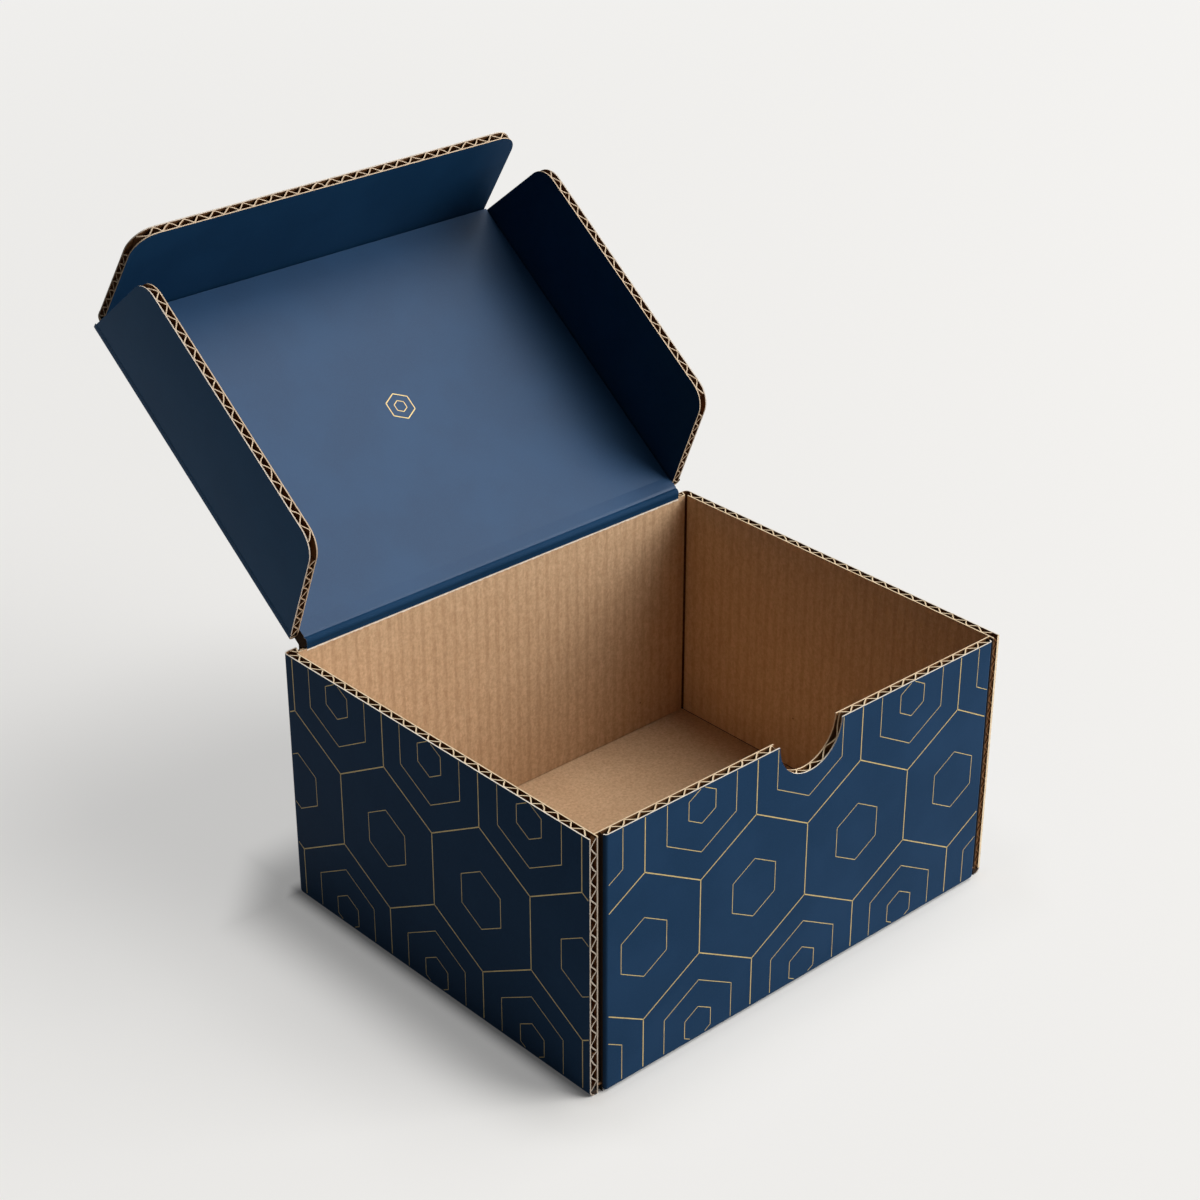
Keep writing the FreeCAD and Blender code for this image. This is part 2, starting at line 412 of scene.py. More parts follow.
def make_tray_inside(shape):
    """The kraft liner inside: four walls with their cut top edges, and the floor."""
    foot = BOARD + FLOOR_SEAM
    half_back = INNER_X - CORNER_SEAM
    side_end = INNER_Y - CORNER_SEAM
    walls = [
        (Panel((0, -INNER_Y, 0), X_AXIS, Z_AXIS, -Y_AXIS), -INNER_X, INNER_X, True),
        (Panel((0, INNER_Y, 0), X_AXIS, Z_AXIS, Y_AXIS), -half_back, half_back, False),
        (Panel((-INNER_X, 0, 0), Y_AXIS, Z_AXIS, -X_AXIS), RAW_EDGE_Y, side_end, False),
        (Panel((INNER_X, 0, 0), Y_AXIS, Z_AXIS, X_AXIS), RAW_EDGE_Y, side_end, False),
    ]
    for panel, start, end, notched in walls:
        outline = [(start, foot), (end, foot), (end, HEIGHT)]
        if notched:
            outline += arc((0, HEIGHT), NOTCH_RADIUS, 360, 180, NOTCH_STEPS)
        outline.append((start, HEIGHT))
        slab(shape, panel, outline, 0, LINER, KRAFT, FLUTE, CREAM_CUT)
    floor = Panel((0, 0, BOARD), X_AXIS, Y_AXIS, -Z_AXIS)
    floor_back = INNER_Y + LINER
    corners = [
        (-INNER_X, RAW_EDGE_Y), (INNER_X, RAW_EDGE_Y),
        (INNER_X, floor_back), (-INNER_X, floor_back),
    ]
    slab(shape, floor, corners, 0, LINER, KRAFT, FLUTE, FLUTE)


def make_tray_flutes(shape, dice):
    """The wavy sheets of the walls, which show along the top and at the raw edges."""
    low = LINER
    high = BOARD - LINER
    past_side = 1.0 * MM
    past_back = 1.2 * MM
    edge_top = HEIGHT - 0.4 * MM
    backing_foot = 0.6 * MM
    backing_top = HEIGHT - 2.0 * MM

    def top_row(panel, start, end, edge):
        fluting(shape, panel.at, start, end, edge, WALL_FLUTE_DEPTH, low, high, FLUTE_PITCH, dice)

    front = Panel((0, -HALF_DEPTH, 0), X_AXIS, Z_AXIS, Y_AXIS)
    top_row(front, -PANEL_END_X, PANEL_END_X, notch_edge)
    # On the right raw edge the webs' cut edges take the flute's brown and the cells stop at a
    # shallow brown backing: painted shade for that edge
    for side, cell_depth, cut in ((-1, CELL_DEPTH, RAW_CUT), (1, RIGHT_EDGE_CELL_DEPTH, FLUTE)):
        inwards = X_AXIS * -side
        wall = Panel((side * HALF_WIDTH, 0, 0), Y_AXIS, Z_AXIS, inwards)
        top_row(wall, RAW_EDGE_Y + CELL_DEPTH + CELL_GAP, INNER_Y + past_side, whole_edge)
        back = Panel((0, HALF_DEPTH, 0), X_AXIS, Z_AXIS, -Y_AXIS)
        first, last = sorted((side * SHOULDER_X, side * (INNER_X + past_back)))
        top_row(back, first, last, whole_edge)
        edge = Panel((side * HALF_WIDTH, RAW_EDGE_Y, 0), Z_AXIS, -Y_AXIS, inwards)
        fluting(
            shape, edge.at, FOLD_RADIUS, edge_top, level_edge, cell_depth, low, high, FLUTE_PITCH,
            dice, cut,
        )
        backing = [
            (backing_foot, low), (backing_top, low), (backing_top, high), (backing_foot, high),
        ]
        shape.face([edge.at(a, -cell_depth, c) for a, c in backing], FLUTE)


def make_tray_shoulder(shape):
    """The back wall's top at the hinge, pressed off so that the lid folds back past level."""
    depth = 4 * MM
    inner_y = INNER_Y + 0.2 * MM
    section = [
        (HALF_DEPTH - LINER, HEIGHT - SHOULDER_DROP - depth),
        (HALF_DEPTH - 0.1 * MM, HEIGHT - SHOULDER_DROP),
        (HALF_DEPTH - SHOULDER_WIDTH, HEIGHT),
        (inner_y, HEIGHT),
        (inner_y, HEIGHT - depth),
    ]
    left = [Vector((-SHOULDER_X, y, z)) for y, z in section]
    right = [Vector((SHOULDER_X, y, z)) for y, z in section]
    shape.band(left, right, KRAFT, closed=True)
    shape.face(left, CREAM_CUT)
    shape.face(right, CREAM_CUT)


# The lid and its flaps

lid_along = (front_fold - hinge).normalized()
lid_inner = X_AXIS.cross(lid_along)
LID_LENGTH = (front_fold - hinge).length
lid_panel = Panel(hinge, X_AXIS, lid_along, lid_inner)


def turned(one, two, angle):
    """The direction at an angle in degrees from one towards two."""
    return one * math.cos(math.radians(angle)) + two * math.sin(math.radians(angle))


front_panel = Panel(
    front_fold, X_AXIS,
    turned(lid_along, lid_inner, FRONT_FLAP_ANGLE),
    turned(lid_inner, -lid_along, FRONT_FLAP_ANGLE),
)
left_panel = Panel(left_fold, lid_along, lid_inner, X_AXIS)
right_panel = Panel(right_fold, -lid_along, lid_inner, -X_AXIS)


def corner_cut_back(taper):
    """How far a flap's rounded corner reaches along its edges."""
    return FLAP_CORNER_RADIUS * math.tan((math.pi / 2 - math.radians(taper)) / 2)


def flap_outline(length, depth, taper):
    """A flap's outline: its fold, then round the two corners of its free edge."""
    inset = depth * math.tan(math.radians(taper))
    centre_a = length / 2 - inset - corner_cut_back(taper)
    centre_b = depth - FLAP_CORNER_RADIUS
    right = arc((centre_a, centre_b), FLAP_CORNER_RADIUS, taper, 90, FLAP_CORNER_STEPS)
    left = arc((-centre_a, centre_b), FLAP_CORNER_RADIUS, 90, 180 - taper, FLAP_CORNER_STEPS)
    return [(-length / 2, 0), (length / 2, 0)] + right + left


def free_edge(outline):
    """How far up the outline reaches at a place along it."""
    crown = sorted(outline[1:])

    def reach(a):
        for (a0, b0), (a1, b1) in zip(crown, crown[1:]):
            if a0 <= a <= a1 and a1 > a0:
                return b0 + (b1 - b0) * (a - a0) / (a1 - a0)
        return 0.0

    return reach


def make_flap(name, body, panel, length, depth, taper, materials, dice):
    """A flap of board: two printed liners, the wavy sheet between them, and its round fold."""
    shape = Shape()
    outline = flap_outline(length, depth, taper)
    outer_top = -HALF_BOARD + LINER
    inner_bottom = HALF_BOARD - LINER
    slab(shape, panel, outline, -HALF_BOARD, outer_top, PRINT, FLUTE, PALE_CUT, open_sides=(0,))
    slab(
        shape, panel, outline, inner_bottom, HALF_BOARD, FLUTE, INNER_PRINT, CREAM_CUT,
        open_sides=(0,),
    )
    pressed = 0.93
    fold = arc((0, 0), HALF_BOARD, 270, 90, ROUND_STEPS)
    round_of_fold = [(b * pressed, c) for b, c in fold]
    left = [panel.at(-length / 2, b, c) for b, c in round_of_fold]
    right = [panel.at(length / 2, b, c) for b, c in round_of_fold]
    shape.band(left, right, PRINT)
    shape.face(left, CREAM_CUT)
    shape.face(right, CREAM_CUT)

    lean = math.radians(taper)
    inset = depth * math.tan(lean)
    row_end = length / 2 - inset - CELL_DEPTH - CELL_GAP
    fluting(
        shape, panel.at, -row_end, row_end, free_edge(outline), FLAP_FLUTE_DEPTH, outer_top,
        inner_bottom, FLUTE_PITCH, dice,
    )
    run = (depth - corner_cut_back(taper)) / math.cos(lean)
    edge_start = 0.3 * MM
    for side in (-1, 1):
        up_edge = panel.up * math.cos(lean) - panel.along * side * math.sin(lean)
        outward = panel.along * side * math.cos(lean) + panel.up * math.sin(lean)
        edge = Panel(panel.at(side * length / 2, 0, 0), up_edge, outward, panel.through)
        fluting(
            shape, edge.at, edge_start, run, level_edge, CELL_DEPTH, outer_top, inner_bottom,
            SHORT_PITCH, dice,
        )
        backing = [(0, outer_top), (run, outer_top), (run, inner_bottom), (0, inner_bottom)]
        shape.face([edge.at(a, -CELL_DEPTH, c) for a, c in backing], FLUTE)
    made = shape.piece(name, materials)
    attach(made, body)
    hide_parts(body)


def make_lid(materials):
    """The lid's panel between its four folds, rounded at the hinge."""
    shape = Shape()
    inner_x = SHOULDER_X - HALF_BOARD - LID_INNER_GAP
    outer_x = SHOULDER_X - LID_OUTER_GAP
    inner_end = LID_LENGTH - HALF_BOARD - LID_INNER_GAP
    outer_end = LID_LENGTH - LID_OUTER_GAP
    rows = []
    for b, c in arc((0, 0), HALF_BOARD, 270, 90, ROUND_STEPS):
        half = outer_x + (inner_x - outer_x) * (c + HALF_BOARD) / BOARD
        rows.append([lid_panel.at(-half, b, c), lid_panel.at(half, b, c)])
    for one, two in zip(rows, rows[1:]):
        shape.band(one, two, PRINT)
    outer = rows[0] + [lid_panel.at(side * outer_x, outer_end, -HALF_BOARD) for side in (1, -1)]
    inner = rows[-1] + [lid_panel.at(side * inner_x, inner_end, HALF_BOARD) for side in (1, -1)]
    shape.face(outer, PRINT)
    shape.face(inner, INNER_PRINT)
    # The lid's cut edges all round and its ends at the hinge are painted shade
    shape.band(outer[1:] + outer[:1], inner[1:] + inner[:1], PAINTED_SHADE)
    for index in (0, 1):
        shape.face([row[index] for row in rows], PAINTED_SHADE)
    made = shape.piece("lid_board", materials)
    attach(made, "lid")
    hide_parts("lid")


# Paper that bends at the folds


def make_fold_paper(
    name, panel, half_length, profile, start, end, materials, torn=0.0, crease=None
):
    """A strip of liner over a fold, from one body to the other.

    profile holds (b, c) points across the fold, and the paper's thickness lies to the right of the
    way it goes. start and end are not used. torn is how ragged its
    first edge is, and from the point numbered crease on, the strip has the finish of the lid's
    inside.
    """
    tear_spacing = 1.1 * MM
    name_dice = random.Random(name)
    columns = int(2 * half_length / tear_spacing) if torn else 2
    first_way = Vector((profile[0][0] - profile[1][0], profile[0][1] - profile[1][1])).normalized()
    under_profile = []
    for index, (b, c) in enumerate(profile):
        before = profile[max(index - 1, 0)]
        after = profile[min(index + 1, len(profile) - 1)]
        way = Vector((after[0] - before[0], after[1] - before[1])).normalized()
        thickness = FOLD_PAPER if torn or 0 < index < len(profile) - 1 else 0.2 * FOLD_PAPER
        under_profile.append((b + way.y * thickness, c - way.x * thickness))
    faces = []
    unders = []
    for column in range(columns):
        a = -half_length + 2 * half_length * column / (columns - 1)
        fall = name_dice.uniform(-torn, torn)
        rows = []
        for line in (profile, under_profile):
            row = [panel.at(a, b, c) for b, c in line]
            first_b, first_c = line[0]
            row[0] = panel.at(a, first_b + first_way.x * fall, first_c + first_way.y * fall)
            rows.append(row)
        faces.append(rows[0])
        unders.append(rows[1])
    shape = Shape()
    first = 1 if torn else 0
    last = crease + 1 if crease else None
    for face, next_face, under, next_under in zip(faces, faces[1:], unders, unders[1:]):
        if torn:
            shape.band(face[:2], next_face[:2], PALE_CUT)
        shape.band(face[first:last], next_face[first:last], PRINT)
        if crease:
            shape.band(face[crease:], next_face[crease:], INNER_PRINT)
        shape.band(under, next_under, FLUTE)
        for index in (0, -1):
            shape.face([face[index], under[index], next_under[index], next_face[index]], CREAM_CUT)
    for index in (0, -1):
        shape.band(faces[index], unders[index], CREAM_CUT)
    made = shape.piece(name, materials, smooth=60)
    panel.at(0, *start)
    panel.at(0, *end)
    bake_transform(made)


def make_flap_fold(name, panel, half_length, angle, materials):
    """The liner round the outside of a flap's fold.

    The panel's b goes out of the lid, and its c goes inwards.
    """
    over = HALF_BOARD + FOLD_PAPER
    reach = 2.4 * MM
    press = 1.3 * FOLD_PAPER / over
    round_part = []
    for step, (b, c) in enumerate(arc((0, 0), over, 270, 270 + angle, ROUND_STEPS)):
        pressed = 1 - press * math.sin(math.pi * step / ROUND_STEPS)
        round_part.append((b * pressed, c * pressed))
    up = Vector((math.cos(math.radians(angle)), math.sin(math.radians(angle))))
    last = round_part[-1]
    profile = [(-reach, -over)] + round_part + [(last[0] + up.x * reach, last[1] + up.y * reach)]
    make_fold_paper(
        name, panel, half_length, profile[::-1], last, round_part[0], materials
    )


def make_hinge_paper(inner_materials, outer_materials):
    """The liner on both sides of the lid's hinge.

    The inside strip goes up the back wall's face from its torn edge, round the hinge, through a
    pressed crease and onto the lid. The outside strip goes down the lid and onto the back wall.
    """
    section = Panel(hinge, X_AXIS, Y_AXIS, Z_AXIS)
    lid_angle = math.degrees(math.atan2(lid_inner.z, lid_inner.y))
    along = Vector((lid_along.y, lid_along.z))
    normal = Vector((lid_inner.y, lid_inner.z))

    inner_radius = HALF_BOARD + 0.35 * MM
    inner_half_length = SHOULDER_X - 2.7 * MM
    wall_face = INNER_Y - hinge.y - FOLD_PAPER
    torn_edge = HEIGHT - hinge.z - 1.05 * MM
    up_the_wall = (0.0, 0.8, 1.4)
    crease_profile = (
        (0.3, 0.33), (0.55, 0.16), (0.8, 0.02), (1.0, 0.03), (1.5, 0.45), (2.6, 0.36), (8.0, 0.12),
    )
    inside = [(wall_face, torn_edge + rise * MM) for rise in up_the_wall]
    inside += arc((0, 0), inner_radius, 205, lid_angle + 4, ROUND_STEPS)
    for reach, rise in crease_profile:
        point = along * reach * MM + normal * (HALF_BOARD + rise * MM)
        inside.append((point.x, point.y))
    first_turn = inside[len(up_the_wall) + 1]
    last_turn = inside[len(up_the_wall) + ROUND_STEPS]
    # Up to the crease the inside strip takes its first finish, which here is the darker copy of
    # the inside print: painted shade
    crease = len(up_the_wall) + ROUND_STEPS + 4
    make_fold_paper(
        "hinge_paper_inside", section, inner_half_length, inside, first_turn, last_turn,
        inner_materials, torn=0.2 * MM, crease=crease,
    )

    outer_half_length = SHOULDER_X - 1.6 * MM
    wall_back = HALF_DEPTH - hinge.y + FOLD_PAPER
    outer = -normal * (HALF_BOARD + FOLD_PAPER)
    outside = []
    for reach in (7.0, 2.6, 2.2, 1.9, 1.7, 1.5):
        point = outer + along * reach * MM
        outside.append((point.x, point.y))
    for rise in (-1.5, -1.8, -2.1, -2.5, -8.0):
        outside.append((wall_back, rise * MM))
    make_fold_paper(
        "hinge_paper_outside", section, outer_half_length, outside, outside[1], outside[-2],
        outer_materials,
    )


# Materials


def colour(red, green, blue):
    """A colour given as 0 to 255, in the linear values that shaders take."""
    parts = []
    for value in (red, green, blue):
        value /= 255
        parts.append(value / 12.92 if value <= 0.04045 else ((value + 0.055) / 1.055) ** 2.4)
    return (*parts, 1.0)


class Finish:
    """A material with the nodes that its colour and bump are made of."""

    def __init__(self, name, roughness, specular=0.5):
        self.material = bpy.data.materials.new(name)
        self.material.use_nodes = True
        self.nodes = self.material.node_tree.nodes
        self.links = self.material.node_tree.links
        self.shader = self.nodes["Principled BSDF"]
        self.shader.inputs["Roughness"].default_value = roughness
        self.shader.inputs["Specular IOR Level"].default_value = specular
        self.place = self.nodes.new("ShaderNodeTexCoord").outputs["Object"]

    def node(self, kind, inputs=(), **settings):
        made = self.nodes.new("ShaderNode" + kind)
        for name, value in settings.items():
            setattr(made, name, value)
        for name, value in dict(inputs).items():
            socket = made.inputs[name]
            if isinstance(value, bpy.types.NodeSocket):
                self.links.new(value, socket)
            else:
                socket.default_value = value
        return made

    def stretched(self, scale):
        return self.node("Mapping", {"Vector": self.place, "Scale": scale}).outputs["Vector"]

    def noise(self, scale, detail=3.0, place=None):
        inputs = {"Vector": place or self.place, "Scale": scale, "Detail": detail}
        return self.node("TexNoise", inputs).outputs["Fac"]

    def ramp(self, value, low, high):
        """0 below low, 1 above high."""
        inputs = {"Value": value, "From Min": low, "From Max": high}
        return self.node("MapRange", inputs, interpolation_type="SMOOTHSTEP").outputs["Result"]

    def maths(self, operation, one, two=0.0, three=0.0):
        return self.node("Math", {0: one, 1: two, 2: three}, operation=operation).outputs["Value"]

    def mix(self, share, one, two):
        made = self.nodes.new("ShaderNodeMix")
        made.data_type = "RGBA"
        for index, value in ((0, share), (6, one), (7, two)):
            if isinstance(value, bpy.types.NodeSocket):
                self.links.new(value, made.inputs[index])
            else:
                made.inputs[index].default_value = value
        return made.outputs[2]

    def paint(self, colour_socket):
        self.links.new(colour_socket, self.shader.inputs["Base Color"])

    def bump(self, height, strength, distance):
        made = self.node("Bump", {"Height": height, "Strength": strength, "Distance": distance})
        self.links.new(made.outputs["Normal"], self.shader.inputs["Normal"])


def board_ribs(finish):
    """Soft ridges where the flutes show through, one after the other along each wall."""
    wavenumber = 2 * math.pi / RIB_PITCH
    parts = finish.node("SeparateXYZ", {"Vector": finish.place}).outputs
    normal = finish.node("TexCoord").outputs["Normal"]
    facing = finish.node("SeparateXYZ", {"Vector": normal}).outputs
    along_x = finish.maths("SINE", finish.maths("MULTIPLY", parts["X"], wavenumber))
    along_y = finish.maths("SINE", finish.maths("MULTIPLY", parts["Y"], wavenumber))
    on_front = finish.maths("POWER", facing["Y"], 2.0)
    on_side = finish.maths("POWER", facing["X"], 2.0)
    front_ribs = finish.maths("MULTIPLY", along_x, on_front)
    side_ribs = finish.maths("MULTIPLY", along_y, on_side)
    return finish.maths("ADD", front_ribs, side_ribs)


def printed_finish(name, base, light, specular):
    finish = Finish(name, roughness=0.55, specular=specular)
    clouds = finish.ramp(finish.noise(28.0, detail=4.0), 0.35, 0.7)
    grain = finish.ramp(finish.noise(1500.0, detail=2.0), 0.4, 0.75)
    toned = finish.mix(finish.maths("MULTIPLY", clouds, 0.5), base, light)
    grained = finish.mix(finish.maths("MULTIPLY", grain, 0.35), toned, light)
    finish.paint(grained)
    waves = finish.noise(260.0, detail=3.0)
    height = finish.maths("ADD", finish.maths("MULTIPLY", grain, 0.3), waves)
    finish.bump(height, 0.25, 0.05 * MM)
    return finish.material


def kraft_finish(name, base, dark, light):
    finish = Finish(name, roughness=0.85, specular=0.25)
    wobble = finish.noise(150.0, detail=3.0, place=finish.stretched((1.0, 1.0, 0.25)))
    ribs = finish.maths("MULTIPLY_ADD", wobble, 1.6, board_ribs(finish))
    groove_and_shade = finish.ramp(ribs, 0.5, 2.0)
    clouds = finish.ramp(finish.noise(38.0, detail=4.0), 0.3, 0.75)
    mottle = finish.ramp(finish.noise(620.0, detail=6.0), 0.36, 0.68)
    upright = finish.stretched((1.0, 1.0, 0.3))
    fibres = finish.ramp(finish.noise(760.0, detail=4.0, place=upright), 0.42, 0.68)
    grain = finish.ramp(finish.noise(1500.0, detail=2.0), 0.42, 0.7)
    toned = finish.mix(finish.maths("MULTIPLY", clouds, 0.4), base, light)
    toned = finish.mix(finish.maths("MULTIPLY", mottle, 0.32), toned, dark)
    toned = finish.mix(finish.maths("MULTIPLY", fibres, 0.28), toned, dark)
    toned = finish.mix(finish.maths("MULTIPLY", grain, 0.25), toned, dark)
    # The flute grooves are a real bump, and their darker tone is painted shade in them
    toned = finish.mix(finish.maths("MULTIPLY", groove_and_shade, 0.26), toned, dark)
    specks = finish.node("TexVoronoi", {"Vector": finish.place, "Scale": 34.0}).outputs["Distance"]
    speck_share = finish.maths("SUBTRACT", 1.0, finish.ramp(specks, 0.012, 0.028))
    toned = finish.mix(finish.maths("MULTIPLY", speck_share, 0.75), toned, colour(60, 38, 20))
    finish.paint(toned)
    rough = finish.maths("MULTIPLY", finish.maths("ADD", mottle, fibres), 0.2)
    height = finish.maths("SUBTRACT", rough, finish.maths("MULTIPLY", groove_and_shade, 0.8))
    finish.bump(height, 0.6, 0.16 * MM)
    return finish.material


def paper_finish(name, base, dark, spread):
    finish = Finish(name, roughness=0.85, specular=0.2)
    fibres = finish.ramp(finish.noise(900.0, detail=4.0), 0.35, 0.75)
    blotches = finish.ramp(finish.noise(220.0, detail=2.0), 0.4, 0.7)
    toned = finish.mix(finish.maths("MULTIPLY", fibres, spread), base, dark)
    toned = finish.mix(finish.maths("MULTIPLY", blotches, spread * 0.6), toned, dark)
    finish.paint(toned)
    finish.bump(fibres, 0.5, 0.1 * MM)
    return finish.material


def gold_finish(name):
    finish = Finish(name, roughness=0.45)
    finish.shader.inputs["Metallic"].default_value = 0.25
    wear = finish.ramp(finish.noise(420.0, detail=3.0), 0.4, 0.75)
    worn = finish.maths("MULTIPLY", wear, 0.45)
    finish.paint(finish.mix(worn, colour(210, 186, 124), colour(166, 142, 94)))
    finish.bump(wear, 0.2, 0.02 * MM)
    return finish.material


print_navy = printed_finish("print_navy", colour(27, 56, 86), colour(36, 66, 99), 0.04)
print_slate = printed_finish("print_slate", colour(19, 56, 91), colour(26, 67, 105), 0.33)
# A darker, duller copy of the lid's inside print: painted shade for the flaps' insides and the
# hinge band below its crease
print_painted_shade = printed_finish("print_painted_shade", colour(20, 52, 82), colour(26, 61, 94), 0.04)
# A lighter copy of the tray's outside print: painted light on the outsides of the lid and flaps
print_outer_painted_light = printed_finish("print_outer_painted_light", colour(34, 75, 112), colour(42, 85, 124), 0.08)
kraft = kraft_finish(
    "kraft_liner", colour(213, 180, 144), colour(166, 130, 96), colour(222, 191, 156)
)
pale_cut = paper_finish("pale_cut_edge", colour(244, 236, 224), colour(206, 188, 164), 0.45)
cream_cut = paper_finish("cream_cut_edge", colour(246, 224, 190), colour(204, 170, 126), 0.45)
raw_cut = paper_finish("raw_cut_edge", colour(190, 179, 165), colour(158, 136, 116), 0.45)
flap_pale = paper_finish("flap_pale_edge", colour(208, 196, 182), colour(180, 162, 142), 0.45)
flap_cream = paper_finish("flap_cream_edge", colour(208, 186, 160), colour(178, 150, 120), 0.45)
flute_brown = paper_finish("flute_paper", colour(128, 88, 52), colour(84, 54, 30), 0.6)
# A dark paper that paints shade: in the slots beside the front panel, at the wall feet, on the
# right raw edge's inner strip and on the lid's cut edges and ends
slot_shade = paper_finish("painted_slot_shade", colour(52, 36, 24), colour(30, 20, 13), 0.5)
gold = gold_finish("gold_line")
board_finishes = [kraft, pale_cut, cream_cut, flute_brown]
tray_finishes = [print_navy] + board_finishes + [print_navy, slot_shade, raw_cut]
lid_finishes = [print_outer_painted_light] + board_finishes + [print_slate, slot_shade]
# The hinge band below its crease and the flaps' insides take the darker copy of the inside print,
# a painted shade
band_finishes = [print_painted_shade] + board_finishes + [print_slate]
flap_finishes = [print_outer_painted_light, kraft, flap_pale, flap_cream, flute_brown, print_painted_shade]


# The printed lines


def make_line(shape, panel, one, two, width, lift):
    """A printed straight line between two (a, b) points of a wall, as a thin raised bar."""
    run_a = two[0] - one[0]
    run_b = two[1] - one[1]
    length = math.hypot(run_a, run_b)
    side_a = -run_b / length * width / 2
    side_b = run_a / length * width / 2
    corners = [
        (one[0] + side_a, one[1] + side_b), (two[0] + side_a, two[1] + side_b),
        (two[0] - side_a, two[1] - side_b), (one[0] - side_a, one[1] - side_b),
    ]
    slab(shape, panel, corners, -lift, 0.0, 0, 0, 0)


def ring_points(centre, radius):
    """The corners of a hexagon that stands on a point."""
    points = []
    for index in range(6):
        angle = math.radians(30 + 60 * index)
        points.append((centre[0] + radius * math.cos(angle), centre[1] + radius * math.sin(angle)))
    return points


def clipped(one, two, half_width, low, high, notch):
    """The part of a line inside a wall's printed field, or None.

    notch says whether the thumb notch is left out of the field.
    """
    steps = 160
    kept = []
    for step in range(steps + 1):
        share = step / steps
        a = one[0] + (two[0] - one[0]) * share
        b = one[1] + (two[1] - one[1]) * share
        inside = abs(a) <= half_width and low <= b <= high
        if inside and notch:
            inside = math.hypot(a, b - HEIGHT) > NOTCH_RADIUS + NOTCH_MARGIN
        if inside:
            kept.append((a, b))
    if len(kept) < 2:
        return None
    return kept[0], kept[-1]


def wall_lines():
    """A plain honeycomb with smaller rings in its cells: (one, two, width) for each line."""
    across = CELL_RADIUS * math.sqrt(3)
    row_height = CELL_RADIUS * 1.5
    first_row = 0.24 * CELL_RADIUS
    lines = []
    for row in range(-1, 4):
        for column in range(-3, 4):
            centre = ((column + (row % 2) / 2) * across, row * row_height + first_row)
            cell = ring_points(centre, CELL_RADIUS)
            for index in (0, 1, 2):
                lines.append((cell[index], cell[index + 1], STRONG_LINE))
            rings = (0.62, 0.24) if row % 2 == 0 else (0.4,)
            for share in rings:
                ring = ring_points(centre, CELL_RADIUS * share)
                for index in range(6):
                    lines.append((ring[index], ring[(index + 1) % 6], FINE_LINE))
    return lines


def make_wall_lines(name, panel, half_width, notch=False, top=HEIGHT - TOP_MARGIN):
    """The honeycomb's part on one wall of the tray."""
    shape = Shape()
    for one, two, width in wall_lines():
        part = clipped(one, two, half_width, FOLD_RADIUS, top, notch)
        if part and math.dist(*part) > width:
            make_line(shape, panel, part[0], part[1], width, LINE_LIFT)
    made = shape.piece(name, [gold])
    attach(made, "tray")


def make_lid_lines():
    """A small hexagon with a ring inside it, in the middle of the lid."""
    shape = Shape()
    panel = Panel(lid_panel.at(0, LID_LENGTH / 2, HALF_BOARD), -X_AXIS, lid_along, -lid_inner)
    for radius, width in ((7.2 * MM, 0.5 * MM), (3.2 * MM, 0.4 * MM)):
        ring = ring_points((0, 0), radius)
        for index in range(6):
            make_line(shape, panel, ring[index], ring[(index + 1) % 6], width, LINE_LIFT)
    made = shape.piece("lid_lines", [gold])
    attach(made, "lid")


# Putting the box together

dice = random.Random(7)
tray_shape = Shape()
make_tray_skin(tray_shape)
make_tray_inside(tray_shape)
make_tray_flutes(tray_shape, dice)
make_tray_shoulder(tray_shape)
tray = tray_shape.piece("tray_board", tray_finishes)
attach(tray, "tray")
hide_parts("tray")

make_lid(lid_finishes)
make_flap(
    "front_flap_board", "front_flap", front_panel, FRONT_FLAP_LENGTH, FRONT_FLAP_DEPTH,
    FRONT_FLAP_TAPER, flap_finishes, dice,
)
make_flap(
    "left_flap_board", "left_flap", left_panel, SIDE_FLAP_LENGTH, SIDE_FLAP_DEPTH,
    SIDE_FLAP_TAPER, flap_finishes, dice,
)
make_flap(
    "right_flap_board", "right_flap", right_panel, SIDE_FLAP_LENGTH, SIDE_FLAP_DEPTH,
    SIDE_FLAP_TAPER, flap_finishes, dice,
)

make_hinge_paper(band_finishes, lid_finishes)
make_flap_fold(
    "front_fold_paper", Panel(front_fold, X_AXIS, lid_along, lid_inner),
    FRONT_FLAP_LENGTH / 2, FRONT_FLAP_ANGLE, flap_finishes,
)
make_flap_fold(
    "left_fold_paper", Panel(left_fold, lid_along, -X_AXIS, lid_inner),
    SIDE_FLAP_LENGTH / 2, SIDE_FLAP_ANGLE, flap_finishes,
)
make_flap_fold(
    "right_fold_paper", Panel(right_fold, lid_along, X_AXIS, lid_inner),
    SIDE_FLAP_LENGTH / 2, SIDE_FLAP_ANGLE, flap_finishes,
)

front_face = Panel((0, -HALF_DEPTH, 0), X_AXIS, Z_AXIS, Y_AXIS)
back_face = Panel((0, HALF_DEPTH, 0), -X_AXIS, Z_AXIS, -Y_AXIS)
left_face = Panel((-HALF_WIDTH, 0, 0), -Y_AXIS, Z_AXIS, X_AXIS)
right_face = Panel((HALF_WIDTH, 0, 0), Y_AXIS, Z_AXIS, -X_AXIS)
make_wall_lines("front_wall_lines", front_face, PANEL_END_X, notch=True)
make_wall_lines("back_wall_lines", back_face, PANEL_END_X, top=HEIGHT - HINGE_BAND)
make_wall_lines("left_wall_lines", left_face, SIDE_HALF_FIELD)
make_wall_lines("right_wall_lines", right_face, SIDE_HALF_FIELD)
make_lid_lines()


# The floor, the light and the camera

FLOOR_REACH = 4.0
LAMP_SIZE = 2.25
LAMP_DISTANCE = 4.2
LAMP_TARGET = Vector((0, 0, 0.1))
LAMP_COLOUR = (1.0, 0.99, 0.97)


